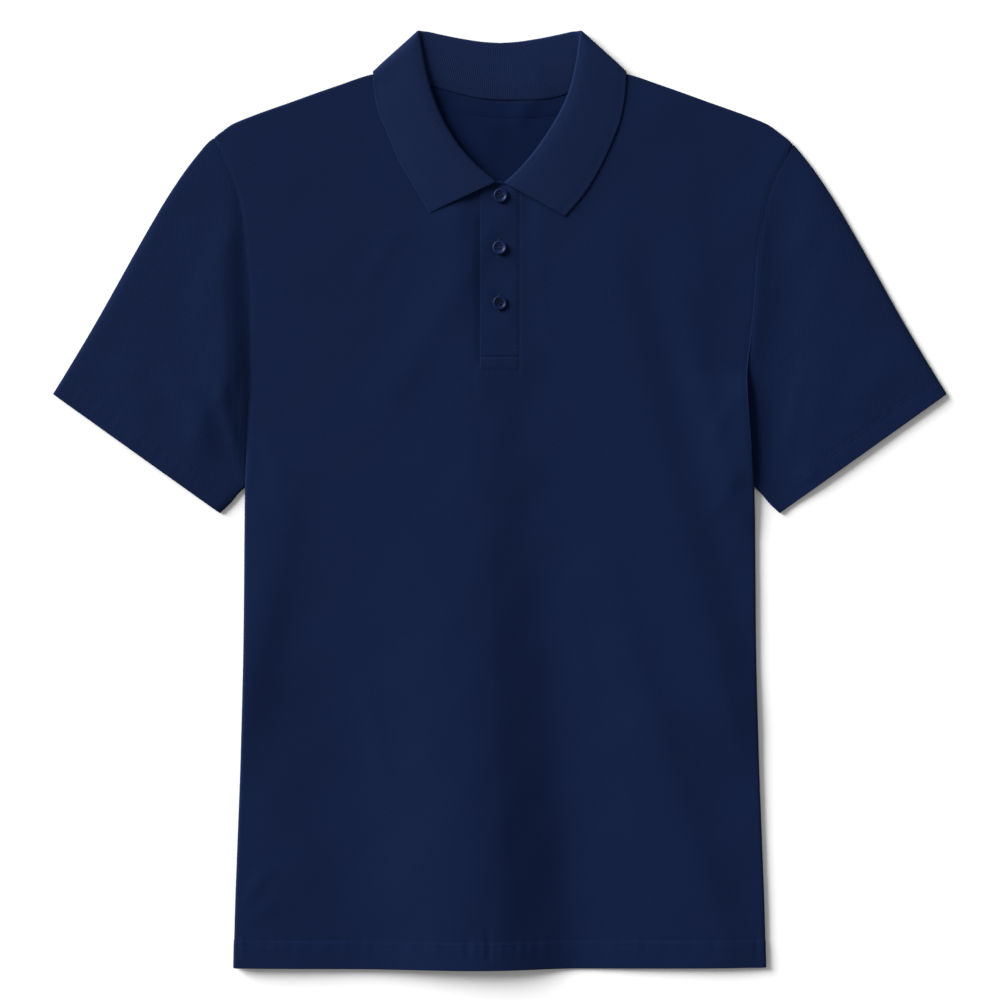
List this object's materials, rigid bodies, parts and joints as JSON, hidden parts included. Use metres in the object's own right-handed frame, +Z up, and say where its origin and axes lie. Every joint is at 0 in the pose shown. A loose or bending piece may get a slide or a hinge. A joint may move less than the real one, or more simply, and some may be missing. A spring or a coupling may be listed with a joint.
{
  "type": "polo shirt",
  "caption": "Plain navy short-sleeved polo shirt with a ribbed collar and a buttoned placket, laid flat face up.",
  "frame": {"origin": "middle of the shirt's overall length and width, on the surface that it lies on", "axes": "+Y from the hem to the neck, +X to the right of somebody looking down on the shirt's front, +Z up off the surface"},
  "size_m": [0.7324, 0.7699, 0.0133],
  "materials": {
    "pique": "matt cotton pique knit, navy",
    "rib": "matt flat-knit rib, navy",
    "button": "semi-gloss moulded plastic, navy"
  },
  "bodies": {
    "root": {"back": "pique", "front": "pique", "sleeve_left": "pique", "sleeve_right": "pique", "placket_top": "pique", "placket_under": "pique", "neck_tape": "pique", "collar": "rib", "button_1": "button", "button_2": "button", "button_3": "button"}
  },
  "joints": []
}
